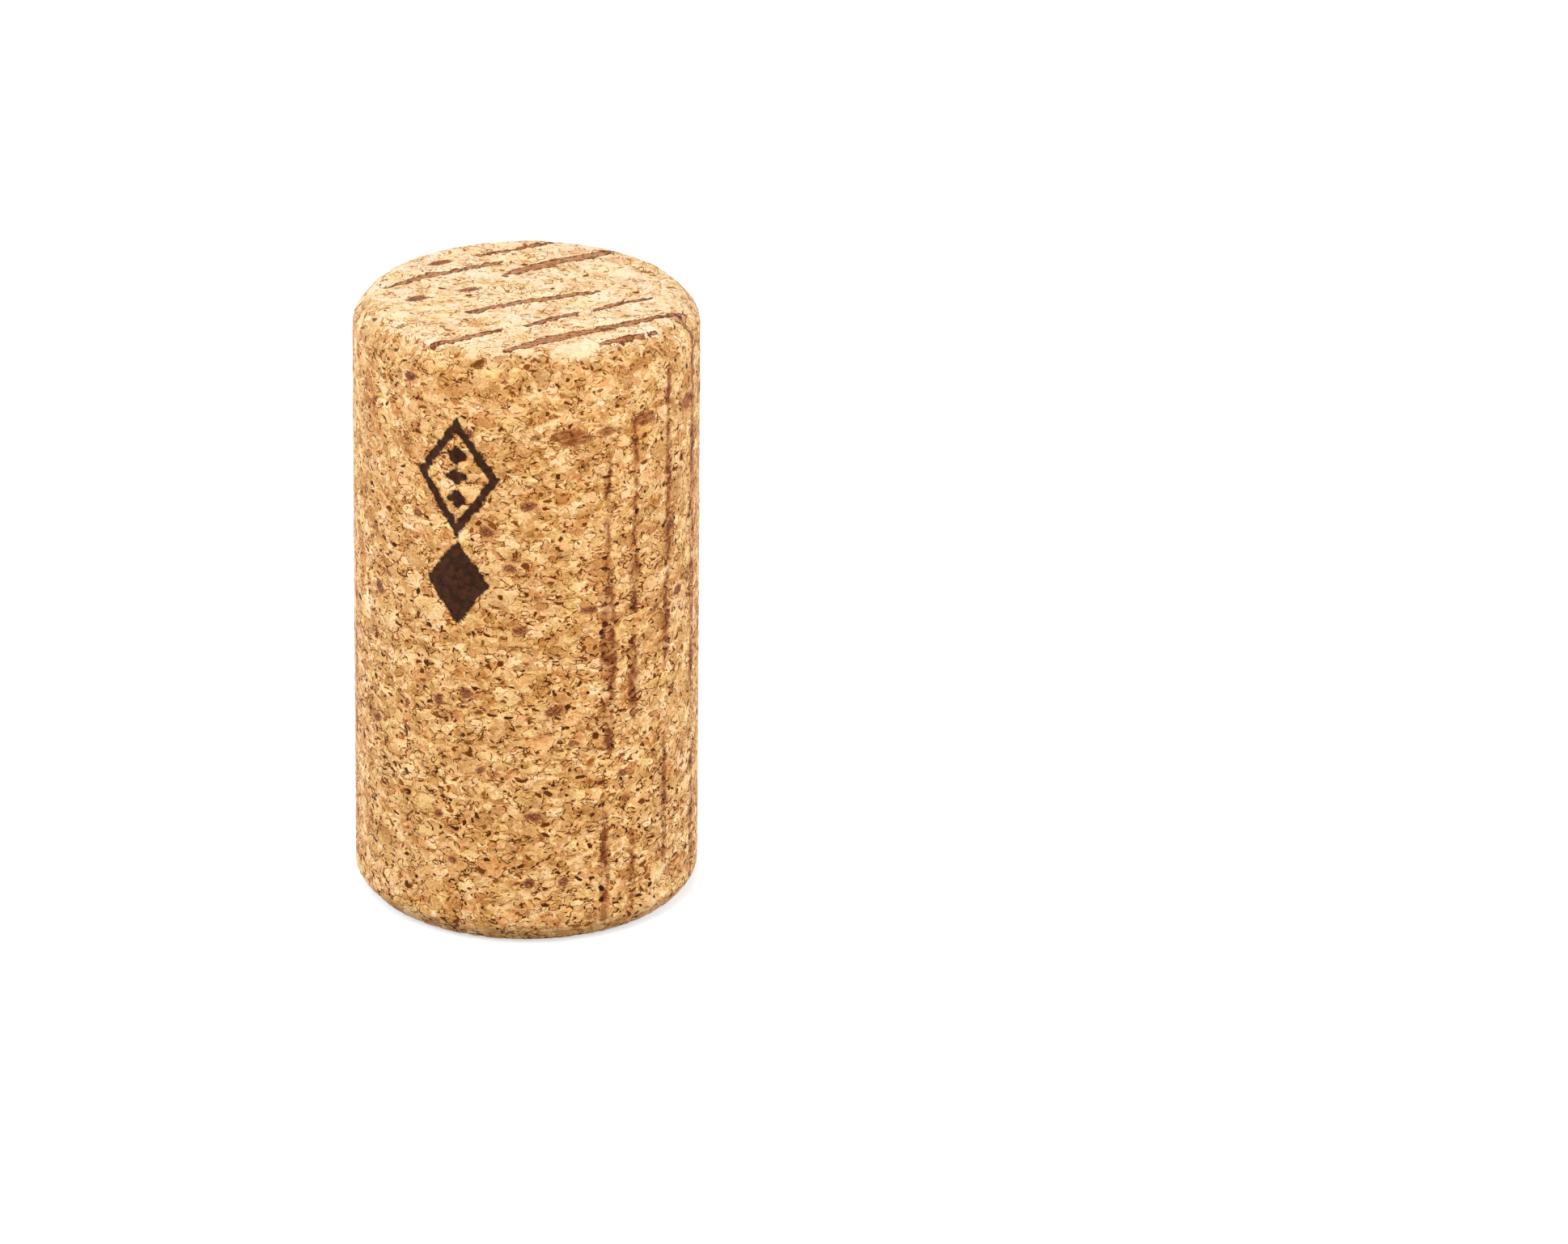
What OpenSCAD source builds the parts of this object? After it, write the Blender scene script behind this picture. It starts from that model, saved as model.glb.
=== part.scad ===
// Wine cork: a straight stopper moulded from glued cork granules, with both ends bevelled
// and rounded so that it slides into a bottle's neck. It stands on its foot, +Z up, with
// the origin at the middle of the foot. Millimetres.

/* [Body] */
// Diameter of the straight barrel
body_d = 24; // [20:0.5:28]
// Length from end face to end face
body_len = 44; // [32:1:54]

/* [Ends] */
// How far each bevel runs along the side
bevel_h = 1.5; // [0.8:0.1:2.5]
// How far each bevel runs in over the end face
bevel_w = 1.3; // [0.8:0.1:2.5]
// Radius that rounds both edges of a bevel
edge_r = 1.4; // [0.3:0.1:1.8]

/* [Pores] */
// Open pores round the barrel
barrel_pores = 32; // [0:1:60]
// Open pores in each end face
end_pores = 7; // [0:1:20]
// Mouth radius of the largest pore
pore_r = 0.45; // [0.3:0.05:0.8]
// Depth of the largest pore
pore_depth = 0.25; // [0.1:0.05:0.4]

/* [Hidden] */

$fn = 96;
PORE_FN = 24;
CORK_TAN = [0.86, 0.66, 0.43];

// The turn of the surface at a bevel's two edges, and the rounding that leaves a flat between them
body_r = body_d / 2;
bevel_len = norm([bevel_w, bevel_h]);
face_turn = atan2(bevel_h, bevel_w);
side_turn = 90 - face_turn;
LARGEST_SHARE = 0.95;
largest_r = LARGEST_SHARE * bevel_len / (tan(face_turn / 2) + tan(side_turn / 2));
round_r = min(edge_r, largest_r);
face_tangent = round_r * tan(face_turn / 2);
side_tangent = round_r * tan(side_turn / 2);

// Where the flat end face and the straight barrel stop
face_r = body_r - bevel_w - face_tangent;
straight_from = bevel_h + side_tangent;
straight_to = body_len - straight_from;

// Steps of a golden-angle spiral, which spreads the pores evenly and never in rows
GOLDEN_ANGLE = 137.508;
SMALLEST_SHARE = 0.5;
SIZE_STEP = 100;
PORE_MARGIN = 1.5;

// Size of pore i, between SMALLEST_SHARE and 1 of the largest
function pore_share(i) = SMALLEST_SHARE + (1 - SMALLEST_SHARE) * pow(sin(i * SIZE_STEP), 2);

// Corners of the half section of one end, from the axis out to the barrel, with each
// rounded edge still cut straight across
function end_points() =
    let (along = [bevel_w, bevel_h] / bevel_len,
         face_edge = [body_r - bevel_w, 0],
         side_edge = [body_r, bevel_h])
    [
        [0, 0],
        [face_r, 0],
        face_edge + face_tangent * along,
        side_edge - side_tangent * along,
        [body_r, straight_from]
    ];

// Half section of one end up to mid-length, with true arcs over both edges of the bevel
module half_section() {
    polygon(concat(end_points(), [[body_r, body_len / 2], [0, body_len / 2]]));
    translate([face_r, round_r]) circle(r = round_r);
    translate([body_r - round_r, straight_from]) circle(r = round_r);
}

// The turned form, closed at both ends
module blank() {
    rotate_extrude() {
        half_section();
        translate([0, body_len]) mirror([0, 1]) half_section();
    }
}

// A ball that cuts one pore into a surface at z = 0 whose outside faces +Z
module pore_cutter(share) {
    mouth = pore_r * share;
    depth = pore_depth * share;
    ball_r = (mouth * mouth + depth * depth) / (2 * depth);
    translate([0, 0, ball_r - depth]) sphere(r = ball_r, $fn = PORE_FN);
}

// Pores round the straight barrel
module barrel_pore_cutters() {
    span = straight_to - straight_from - 2 * PORE_MARGIN;
    for (i = [0 : 1 : barrel_pores - 1])
        translate([0, 0, straight_from + PORE_MARGIN + span * (i + 0.5) / barrel_pores])
            rotate([0, 90, i * GOLDEN_ANGLE])
                translate([0, 0, body_r]) pore_cutter(pore_share(i));
}

// Pores over the flat of one end face, which faces +Z at z = 0
module end_pore_cutters(first_turn) {
    for (i = [0 : 1 : end_pores - 1])
        rotate(first_turn + i * GOLDEN_ANGLE)
            translate([(face_r - PORE_MARGIN) * sqrt((i + 0.5) / end_pores), 0, 0])
                pore_cutter(pore_share(i + barrel_pores));
}

module cork() {
    color(CORK_TAN) difference() {
        blank();
        barrel_pore_cutters();
        translate([0, 0, body_len]) end_pore_cutters(40);
        rotate([180, 0, 0]) end_pore_cutters(200);
    }
}

cork();
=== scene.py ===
"""The looks of a wine cork: a stopper moulded from glued cork granules, then cut, bevelled and
sanded, with lenticel-like strokes and a plain ornament printed on it.

Lengths are in millimetres, which MM turns into metres, apart from the sizes and places of the
floor and the lamps, which are in metres. The marks and the camera have their angles in degrees.

Places on the barrel are (azimuth, height): azimuth 0 faces the camera and grows to its right.
Places on an end face are (x, y), with y away from the camera.
"""
import math

import bpy
import numpy as np
from mathutils import Matrix, Vector


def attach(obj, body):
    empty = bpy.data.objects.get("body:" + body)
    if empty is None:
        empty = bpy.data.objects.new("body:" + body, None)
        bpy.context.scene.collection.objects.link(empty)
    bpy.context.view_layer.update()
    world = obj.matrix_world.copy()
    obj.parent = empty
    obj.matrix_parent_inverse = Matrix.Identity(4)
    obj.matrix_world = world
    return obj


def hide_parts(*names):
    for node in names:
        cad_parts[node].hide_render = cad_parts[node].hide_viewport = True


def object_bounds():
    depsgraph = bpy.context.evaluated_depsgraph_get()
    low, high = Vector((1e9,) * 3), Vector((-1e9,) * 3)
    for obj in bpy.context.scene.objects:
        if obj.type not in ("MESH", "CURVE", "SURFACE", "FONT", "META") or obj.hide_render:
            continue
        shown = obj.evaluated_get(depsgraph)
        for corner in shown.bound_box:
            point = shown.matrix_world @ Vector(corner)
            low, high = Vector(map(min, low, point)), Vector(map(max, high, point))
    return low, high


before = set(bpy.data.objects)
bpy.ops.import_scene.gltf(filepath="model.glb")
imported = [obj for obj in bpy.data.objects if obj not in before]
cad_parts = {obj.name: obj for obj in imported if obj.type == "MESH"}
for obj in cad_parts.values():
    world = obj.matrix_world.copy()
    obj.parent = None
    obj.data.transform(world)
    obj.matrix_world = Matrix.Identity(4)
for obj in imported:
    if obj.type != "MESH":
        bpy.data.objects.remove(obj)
cad_low, cad_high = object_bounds()

MM = 0.001

# ---------------------------------------------------------------- sizes, from the frame and part.scad
LENGTH = (cad_high.z - cad_low.z) / MM
RADIUS = (cad_high.x - cad_low.x) / 2 / MM
BEVEL_H = 1.5
BEVEL_W = 1.3
EDGE_R = 1.4

BEVEL_LEN = math.hypot(BEVEL_W, BEVEL_H)
FACE_TURN = math.atan2(BEVEL_H, BEVEL_W)
SIDE_TURN = math.pi / 2 - FACE_TURN
FACE_TANGENT = EDGE_R * math.tan(FACE_TURN / 2)
SIDE_TANGENT = EDGE_R * math.tan(SIDE_TURN / 2)
FACE_R = RADIUS - BEVEL_W - FACE_TANGENT
STRAIGHT_FROM = BEVEL_H + SIDE_TANGENT

# ---------------------------------------------------------------- the mesh of the whole surface
DISC_CELLS = 92  # cells along each side of an end face's grid
AROUND = 4 * DISC_CELLS  # cells round the side
BEVEL_ROWS = 11
BARREL_ROWS = 190
SHEET = 2 * math.pi * RADIUS  # side of the square sheet on which the surface is laid out flat
SHEET_SHARE = 0.99  # of its size, at which an end face is laid out
FOOT_ON_SHEET, HEAD_ON_SHEET = 0.25, 0.75  # how far across the sheet the end faces lie


def end_profile():
    """Half section of the foot's bevel as (radius, height) points, from the flat face to the barrel."""
    face_centre = np.array([FACE_R, EDGE_R])
    side_centre = np.array([RADIUS - EDGE_R, STRAIGHT_FROM])
    face_arc = EDGE_R * FACE_TURN
    flat = BEVEL_LEN - FACE_TANGENT - SIDE_TANGENT
    side_arc = EDGE_R * SIDE_TURN
    along = np.array([BEVEL_W, BEVEL_H]) / BEVEL_LEN
    flat_from = np.array([RADIUS - BEVEL_W, 0]) + FACE_TANGENT * along
    points = []
    for s in np.linspace(0, face_arc + flat + side_arc, BEVEL_ROWS + 1):
        if s < face_arc:
            turn = s / EDGE_R
            points.append(face_centre + EDGE_R * np.array([math.sin(turn), -math.cos(turn)]))
        elif s < face_arc + flat:
            points.append(flat_from + (s - face_arc) * along)
        else:
            turn = FACE_TURN + (s - face_arc - flat) / EDGE_R
            points.append(side_centre + EDGE_R * np.array([math.sin(turn), -math.cos(turn)]))
    return np.array(points)


def side_profile():
    """Half section of the whole side as (radius, height) points, from the foot's face to the head's."""
    foot = end_profile()
    head = foot[::-1] * [1, -1] + [0, LENGTH]
    barrel = np.linspace(STRAIGHT_FROM, LENGTH - STRAIGHT_FROM, BARREL_ROWS + 1)[1:-1]
    return np.vstack([foot, [(RADIUS, z) for z in barrel], head])


def disc_grid():
    """Even grid over a disc of radius 1: a square's cells, pushed out so that its rim is the circle."""
    line = np.linspace(-1, 1, DISC_CELLS + 1)
    u, v = np.meshgrid(line, line, indexing="ij")
    x = u * np.sqrt(1 - v * v / 2)
    y = v * np.sqrt(1 - u * u / 2)
    return x, y


def rim_order():
    """Grid indices round the square's edge, anticlockwise from the corner at (-1, -1)."""
    n = DISC_CELLS
    return (
        [(i, 0) for i in range(n)]
        + [(n, j) for j in range(n)]
        + [(n - i, n) for i in range(n)]
        + [(0, n - j) for j in range(n)]
    )


def rim_turns():
    """Angles of the points round a rim: as an end face's grid has them, and evenly spaced."""
    x, y = disc_grid()
    gridded = np.unwrap([math.atan2(y[i, j], x[i, j]) for i, j in rim_order()])
    even = gridded[0] + np.arange(AROUND) * 2 * math.pi / AROUND
    return gridded, even


def revolved(radial, axial, turns):
    """(x, y, z) of every (radial, axial) pair at each of its row's turns about the axis."""
    rows = np.stack([radial * np.cos(turns), radial * np.sin(turns), axial + 0 * turns], axis=2)
    return rows.reshape(-1, 3)


def side_surface(profile):
    """Points, normals, quads and the quads' corners on the sheet, for the side between two rims."""
    rows = len(profile)
    gridded, even = rim_turns()
    # A rim's spacing is eased into an even one over the bevel's rows.
    ease = np.clip(np.minimum(np.arange(rows), rows - 1 - np.arange(rows)) / BEVEL_ROWS, 0, 1)[:, None]
    turns = gridded * (1 - ease) + even * ease
    tangent = np.gradient(profile, axis=0)
    tangent /= np.linalg.norm(tangent, axis=1)[:, None]
    points = revolved(profile[:, :1], profile[:, 1:], turns)
    normals = revolved(tangent[:, 1:], -tangent[:, :1], turns)

    first = np.arange(AROUND)
    after = (first + 1) % AROUND
    from_back = (even - math.pi / 2 + math.pi) % (2 * math.pi) - math.pi
    back = int(np.argmin(np.abs(from_back)))
    left = (first - back) % AROUND / AROUND * SHEET
    right = left + SHEET / AROUND
    heights = side_heights(profile)
    quads = []
    sheet = []
    for row in range(rows - 1):
        quads.append(np.stack([first, after, after + AROUND, first + AROUND], axis=1) + row * AROUND)
        below = heights[row] + 0 * left
        above = heights[row + 1] + 0 * left
        corners = [(left, below), (right, below), (right, above), (left, above)]
        sheet.append(np.stack([np.stack(corner, axis=1) for corner in corners], axis=1))
    return points, normals, np.vstack(quads), np.vstack(sheet)


def side_heights(profile):
    """Height on the sheet of each row of the side, which reaches up to the sheet's top edge."""
    steps = np.linalg.norm(np.diff(profile, axis=0), axis=1)
    rise = np.concatenate([[0], np.cumsum(steps)])
    return SHEET - rise[-1] + rise


def cell_corners(values):
    """The values at the four corners of every cell of a grid."""
    cells = np.stack([values[:-1, :-1], values[1:, :-1], values[1:, 1:], values[:-1, 1:]], axis=2)
    return cells.reshape((-1, 4) + values.shape[2:])


def end_surface(z, up, rim_from, inner_from, middle):
    """Points, normals, quads and the quads' corners on the sheet, for the flat face at z, whose
    outside faces up. rim_from and inner_from number its first rim point, which the side already
    has, and its first point of its own. middle is its place on the sheet."""
    x, y = disc_grid()
    index = np.full(x.shape, -1)
    for k, (i, j) in enumerate(rim_order()):
        index[i, j] = rim_from + k
    inner = index < 0
    count = inner.sum()
    index[inner] = inner_from + np.arange(count)
    points = np.stack([x[inner] * FACE_R, y[inner] * FACE_R, np.full(count, z)], axis=1)
    normals = np.tile([0.0, 0.0, up], (count, 1))
    flat = np.stack([x, y], axis=2) * FACE_R * SHEET_SHARE + middle
    return points, normals, cell_corners(index)[:, ::up], cell_corners(flat)[:, ::up]


def cork_surface():
    """Points in millimetres, outward unit normals, quads and the quads' corner places on a sheet
    of side 1: the side unrolled from its back, with the foot and the head as discs below it."""
    profile = side_profile()
    below_side = side_heights(profile)[0]
    parts = [side_surface(profile)]
    side_count = len(profile) * AROUND
    count = side_count
    for z, up, rim_from, across in (
        (0, -1, 0, FOOT_ON_SHEET),
        (LENGTH, 1, side_count - AROUND, HEAD_ON_SHEET),
    ):
        parts.append(end_surface(z, up, rim_from, count, (SHEET * across, below_side / 2)))
        count += len(parts[-1][0])
    points, normals, quads, sheet = (np.vstack(kind) for kind in zip(*parts))
    return points, normals, quads, sheet / SHEET


# ---------------------------------------------------------------- open pores, as part.scad scatters them
BARREL_PORES = 32
END_PORES = 7
PORE_R = 0.45
PORE_DEPTH = 0.25
PORE_MARGIN = 1.5
SMALLEST_SHARE = 0.5
SIZE_STEP = math.radians(100)
GOLDEN_ANGLE = math.radians(137.508)
HEAD_TURN = math.radians(40)
FOOT_TURN = math.radians(200)
MOUTH_REACH = 1.2  # how far from its middle, in mouth radii, a pore is looked for
DARK_MIDDLE = 0.6  # share of a pore's mouth that is dark


def pores():
    """Every pore as the place of its mouth, the outward direction there, and its share of full size."""
    found = []
    span = LENGTH - 2 * STRAIGHT_FROM - 2 * PORE_MARGIN
    for i in range(BARREL_PORES):
        turn = i * GOLDEN_ANGLE
        outward = np.array([math.cos(turn), math.sin(turn), 0])
        height = STRAIGHT_FROM + PORE_MARGIN + span * (i + 0.5) / BARREL_PORES
        found.append((outward * RADIUS + [0, 0, height], outward, i))
    for first_turn, up, height in ((HEAD_TURN, 1, LENGTH), (FOOT_TURN, -1, 0)):
        for i in range(END_PORES):
            turn = first_turn + i * GOLDEN_ANGLE
            reach = (FACE_R - PORE_MARGIN) * math.sqrt((i + 0.5) / END_PORES)
            place = np.array([reach * math.cos(turn), up * reach * math.sin(turn), height])
            found.append((place, np.array([0, 0, up]), i + BARREL_PORES))
    shares = [SMALLEST_SHARE + (1 - SMALLEST_SHARE) * math.sin(i * SIZE_STEP) ** 2 for _, _, i in found]
    return [(place, outward, share) for (place, outward, _), share in zip(found, shares)]


def pore_depths(points, normals):
    """How far each point sinks, against its normal, into the balls that cut the pores."""
    sunk = np.zeros(len(points))
    for place, outward, share in pores():
        mouth, depth = PORE_R * share, PORE_DEPTH * share
        ball = (mouth**2 + depth**2) / (2 * depth)
        from_ball = points - (place + outward * (ball - depth))
        out = (from_ball * normals).sum(axis=1)
        room = out**2 - (from_ball**2).sum(axis=1) + ball**2
        sinks = out + np.sqrt(np.maximum(room, 0))
        near = np.linalg.norm(points - place, axis=1) < mouth * MOUTH_REACH
        sunk = np.where(near & (room > 0), np.maximum(sunk, sinks), sunk)
    return sunk


# ---------------------------------------------------------------- marks on the surface
# Printed strokes on the head: points as (x, y, width), from one tapered end to the other.
HEAD_STROKES = [
    [(-3.6, 7.4, 0.35), (-2.2, 8.1, 0.55), (-0.5, 9.0, 0.55), (1.5, 10.1, 0.4)],
    [
        (-1.6, 3.7, 0.4),
        (-0.5, 4.6, 0.8),
        (1.1, 5.8, 1.25),
        (2.5, 6.8, 0.8),
        (3.8, 7.3, 1.05),
        (5.9, 8.6, 0.6),
    ],
    [(-9.5, 1.3, 0.35), (-8.0, 2.7, 0.55), (-6.6, 3.8, 0.9), (-5.7, 4.1, 0.6)],
    [(-5.5, 4.1, 0.5), (-4.4, 4.9, 0.55), (-3.0, 5.6, 0.6), (-1.9, 6.2, 0.35)],
    [(-3.8, -3.3, 0.5), (-2.2, -2.3, 0.6), (-0.5, -1.4, 0.65), (2.3, -0.2, 0.7), (5.1, 0.9, 0.3)],
    [(0.2, -5.6, 0.4), (1.6, -4.6, 0.6), (2.5, -3.9, 0.6), (3.6, -3.2, 0.35)],
    [(4.7, -2.7, 0.4), (5.8, -1.9, 0.55), (7.1, -1.0, 0.5), (8.6, -0.4, 0.35)],
    [(-6.1, -8.9, 0.5), (-4.9, -8.7, 0.7), (-3.5, -7.7, 0.75), (-1.7, -6.5, 0.4)],
    [(-1.0, -10.2, 0.45), (0.2, -9.3, 0.85), (1.5, -8.3, 1.0), (2.8, -7.5, 1.05), (4.2, -6.8, 0.85)],
    [(4.2, -6.8, 0.85), (5.5, -5.9, 0.65), (8.1, -4.5, 0.7), (10.3, -3.0, 0.35), (11.0, -1.9, 0.2)],
    [(5.3, -8.8, 0.5), (6.6, -8.0, 0.8), (7.8, -7.2, 0.6), (9.0, -6.1, 0.25)],
]
# Printed strokes on the foot, which runs the same way round as the head.
FOOT_STROKES = [
    [(-4.0, 8.6, 0.26), (-2.4, 8.9, 0.53), (-0.6, 8.8, 0.44)],
    [(-8.4, 5.4, 0.31), (-6.2, 6.0, 0.62), (-3.6, 6.1, 0.4)],
    [(-1.6, 5.6, 0.35), (0.6, 5.9, 0.79), (3.4, 5.5, 0.88), (5.8, 4.8, 0.35)],
    [(-9.8, 2.2, 0.35), (-8.7, 2.4, 0.62)],
    [(-7.2, 1.8, 0.31), (-4.2, 2.6, 0.53), (-0.8, 2.7, 0.53), (1.6, 2.2, 0.31)],
    [(4.4, 1.2, 0.26), (7.0, 1.0, 0.53), (9.2, 0.2, 0.26)],
    [(-8.8, -1.8, 0.44), (-6.4, -1.2, 0.62), (-4.6, -1.1, 0.35)],
    [(-2.6, -1.4, 0.35), (0.4, -1.1, 0.53), (3.6, -1.6, 0.31)],
    [(-6.0, -5.0, 0.35), (-3.0, -4.3, 0.79), (0.6, -4.3, 0.97), (4.4, -5.1, 0.7), (6.6, -5.9, 0.26)],
    [(-1.8, -8.2, 0.35), (0.4, -8.0, 0.62), (2.4, -8.3, 0.35)],
]
# Printed stripes that run up the barrel: azimuth, (from, to) heights, width.
STRIPES = [
    (29.5, (14.5, 28.5), 1.3),
    (29.3, (29.0, 38.6), 0.5),
    (28.0, (1.5, 9.8), 0.8),
    (39.5, (24.5, 30.5), 0.95),
    (39.2, (16.5, 22.5), 1.0),
    (40.0, (31.0, 38.5), 0.45),
    (39.0, (2.0, 9.0), 0.5),
    (55.8, (38.5, 41.5), 0.55),
    (55.8, (31.5, 38.0), 0.7),
    (55.3, (26.0, 31.0), 0.85),
    (54.8, (19.5, 25.8), 0.8),
    (54.0, (4.0, 14.0), 0.6),
    (73.5, (15.0, 43.5), 0.95),
    (74.0, (2.0, 12.0), 0.7),
    (91.0, (8.0, 41.0), 0.7),
    (108.0, (3.0, 26.0), 0.6),
    (126.0, (14.0, 42.0), 0.75),
    (211.0, (4.0, 33.0), 0.7),
    (229.0, (12.0, 42.0), 0.6),
    (246.0, (2.0, 38.0), 0.8),
    (263.0, (10.0, 41.0), 0.65),
    (281.0, (3.0, 30.0), 0.5),
]
# Printed dashes that run round the barrel: (from, to) azimuths, height, width.
DASHES = [
    ((9.5, 23.5), 38.1, 1.3),
    ((25.0, 33.0), 38.2, 0.65),
    ((39.0, 49.0), 38.4, 1.0),
    ((65.0, 73.0), 38.1, 1.2),
    ((2.5, 6.5), 38.2, 0.5),
    ((82.0, 92.0), 37.6, 1.0),
    ((101.0, 108.0), 38.2, 0.8),
    ((118.0, 131.0), 37.9, 1.2),
    ((150.0, 158.0), 7.0, 0.8),
    ((166.0, 179.0), 6.6, 1.2),
    ((192.0, 199.0), 7.2, 0.6),
    ((214.0, 227.0), 6.8, 1.2),
    ((240.0, 247.0), 7.3, 0.7),
]
# Reddish bits of bark: azimuth, height, length, width and tilt.
BARK_BITS = [
    (-40.0, 41.6, 1.0, 0.8, 10),
    (-18.0, 38.3, 0.9, 0.7, 0),
    (-56.0, 25.0, 1.3, 0.8, -35),
    (-51.0, 26.4, 0.8, 0.4, -30),
    (-19.0, 19.0, 1.0, 0.8, 15),
    (-29.0, 18.2, 0.7, 0.9, 0),
    (-42.0, 17.2, 0.5, 0.8, 0),
    (10.4, 17.9, 1.4, 0.75, 20),
    (-0.6, 24.0, 1.2, 0.6, 10),
    (3.6, 10.0, 1.5, 0.6, -5),
    (2.2, 5.0, 0.8, 0.8, 0),
    (-24.0, 6.3, 0.7, 0.6, -20),
    (13.7, 5.0, 0.8, 0.8, 0),
    (-12.0, 31.2, 1.1, 0.8, -25),
    (-37.0, 31.7, 0.8, 0.7, 0),
    (22.5, 25.2, 1.5, 0.6, 0),
    (1.8, 33.2, 1.1, 0.7, 20),
    (49.0, 24.0, 1.0, 0.45, 25),
    (57.0, 29.7, 1.0, 0.9, 0),
    (-29.0, 9.6, 0.8, 0.6, 0),
    (-58.0, 15.0, 1.0, 0.7, 15),
    (-14.0, 13.4, 0.9, 0.4, 25),
    (35.0, 12.5, 0.9, 0.6, -15),
    (-4.0, 28.6, 1.2, 0.6, -10),
    (62.0, 24.5, 1.0, 0.8, 10),
]
# Reddish bits of bark on the head: x, y, length, width and tilt.
HEAD_BITS = [
    (-7.5, -0.75, 1.8, 0.95, 30),
    (-3.9, 1.0, 1.9, 0.75, 25),
    (-6.1, 6.0, 2.0, 0.8, 30),
    (-9.9, 2.6, 0.7, 0.4, 20),
    (7.2, -7.4, 0.9, 0.6, 30),
    (9.9, 1.7, 0.8, 0.4, -30),
    (2.0, -2.8, 0.5, 0.3, 70),
]
# Pale flakes on the head: x, y, length, width and tilt.
HEAD_PALE = [
    (-2.9, 3.6, 1.4, 1.0, 20),
    (-1.2, 3.6, 0.9, 0.6, 0),
    (6.6, 4.3, 2.4, 1.3, -10),
    (3.3, -4.9, 1.3, 0.55, 25),
    (3.6, -9.6, 3.2, 1.9, 15),
    (-6.6, -2.6, 1.6, 0.8, 30),
    (-4.2, -8.6, 1.7, 0.7, 10),
    (5.2, 6.2, 1.6, 0.8, -20),
]
# Dark specks on the barrel: azimuth, height, length, width and tilt.
BARREL_SPECKS = [
    (-53.0, 41.3, 0.5, 0.25, -20),
    (-15.5, 43.3, 1.0, 0.35, 25),
    (-47.0, 40.5, 0.35, 0.25, 0),
    (19.0, 40.8, 0.6, 0.3, -35),
    (20.6, 29.0, 1.0, 0.25, -35),
    (7.7, 9.4, 0.9, 0.32, 15),
    (18.5, 35.8, 0.35, 0.2, 0),
    (4.4, 30.6, 0.3, 0.2, 0),
    (26.8, 12.1, 0.7, 0.3, 20),
    (0.0, 3.4, 0.4, 0.2, 10),
    (-43.0, 34.8, 0.6, 0.2, -40),
    (-23.0, 12.4, 0.7, 0.22, 25),
    (-10.0, 16.0, 0.4, 0.2, 0),
    (64.5, 34.6, 0.3, 0.25, 0),
    (16.0, 24.0, 0.35, 0.22, 0),
    (-41.0, 3.4, 0.5, 0.25, 20),
    (27.0, 20.6, 0.45, 0.25, 30),
    (-64.0, 20.0, 0.5, 0.25, -15),
]
# Dark specks on the head: x, y, length, width and tilt.
HEAD_SPECKS = [
    (4.0, 3.8, 0.6, 0.4, 50),
    (-5.8, 1.2, 0.8, 0.35, -25),
    (-5.5, 2.6, 0.3, 0.2, 60),
    (-5.0, 2.1, 0.4, 0.18, -50),
    (1.2, 2.2, 0.35, 0.15, 90),
    (-8.2, 3.6, 0.3, 0.2, 60),
    (-10.2, 1.9, 0.5, 0.25, 70),
    (-1.7, 7.7, 0.4, 0.25, 0),
    (-1.1, 7.9, 0.35, 0.25, 20),
    (-6.8, -3.1, 0.4, 0.25, 30),
    (7.4, 2.9, 0.3, 0.25, 0),
    (3.3, -5.2, 0.35, 0.2, 60),
    (-9.6, -3.0, 0.45, 0.2, -60),
    (6.5, -4.1, 0.25, 0.2, 0),
    (-0.2, -3.6, 0.2, 0.15, 0),
]
# The printed ornament: a lozenge with a row of small ones in it, over a solid lozenge.
STAMP_AZIMUTH = -22.0
STAMP_SPREAD = 60  # degrees to either side of it within which the ornament is looked for
LOZENGE_Z = 35.0
LOZENGE_W, LOZENGE_H = 6.0, 8.4
LINE_W = 0.65
SMALL_W, SMALL_H = LOZENGE_W * 0.3, 1.5
SMALL_STEP = 1.6
SOLID_Z = 27.2
SOLID_W, SOLID_H = 4.8, 6.4

FAR = 9.0  # a distance at which no mark is felt


def along_strokes(u, v, points):
    """Distance of each (u, v) outside a stroke through (u, v, width) points, negative inside."""
    gap = np.full(len(u), FAR)
    for (au, av, aw), (bu, bv, bw) in zip(points, points[1:]):
        du, dv = bu - au, bv - av
        t = np.clip(((u - au) * du + (v - av) * dv) / (du * du + dv * dv), 0, 1)
        reach = np.hypot(u - au - t * du, v - av - t * dv)
        gap = np.minimum(gap, reach - (aw + t * (bw - aw)) / 2)
    return gap


def oval(u, v, long, wide, tilt):
    """Distance outside an oval at the origin, close to true near its edge, negative inside."""
    turn = math.radians(tilt)
    a = u * math.cos(turn) + v * math.sin(turn)
    b = v * math.cos(turn) - u * math.sin(turn)
    return (np.hypot(a / long, b / wide) * 2 - 1) * min(long, wide) / 2


def lozenge(u, v, width, height):
    """Distance outside a lozenge at the origin, negative inside."""
    a, b = width / 2, height / 2
    return (np.abs(u) / a + np.abs(v) / b - 1) * a * b / math.hypot(a, b)


class Surface:
    """Coordinates in which marks are placed, for every point of the cork."""

    def __init__(self, points):
        self.x, self.y, self.z = points.T
        self.azimuth = np.degrees(np.arctan2(self.x, -self.y))
        self.is_head = self.z > LENGTH - BEVEL_H
        self.is_foot = self.z < BEVEL_H
        self.far = np.full(len(points), FAR)

    def round_from(self, azimuth):
        """Millimetres round the barrel from a line at azimuth, positive to its right."""
        turn = (self.azimuth - azimuth + 180) % 360 - 180
        return np.radians(turn) * RADIUS


def strokes_gap(at):
    """Distance outside the printed strokes on both ends."""
    gap = at.far
    for strokes, side in ((HEAD_STROKES, at.is_head), (FOOT_STROKES, at.is_foot)):
        for points in strokes:
            gap = np.minimum(gap, np.where(side, along_strokes(at.x, at.y, points), FAR))
    return gap


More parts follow.
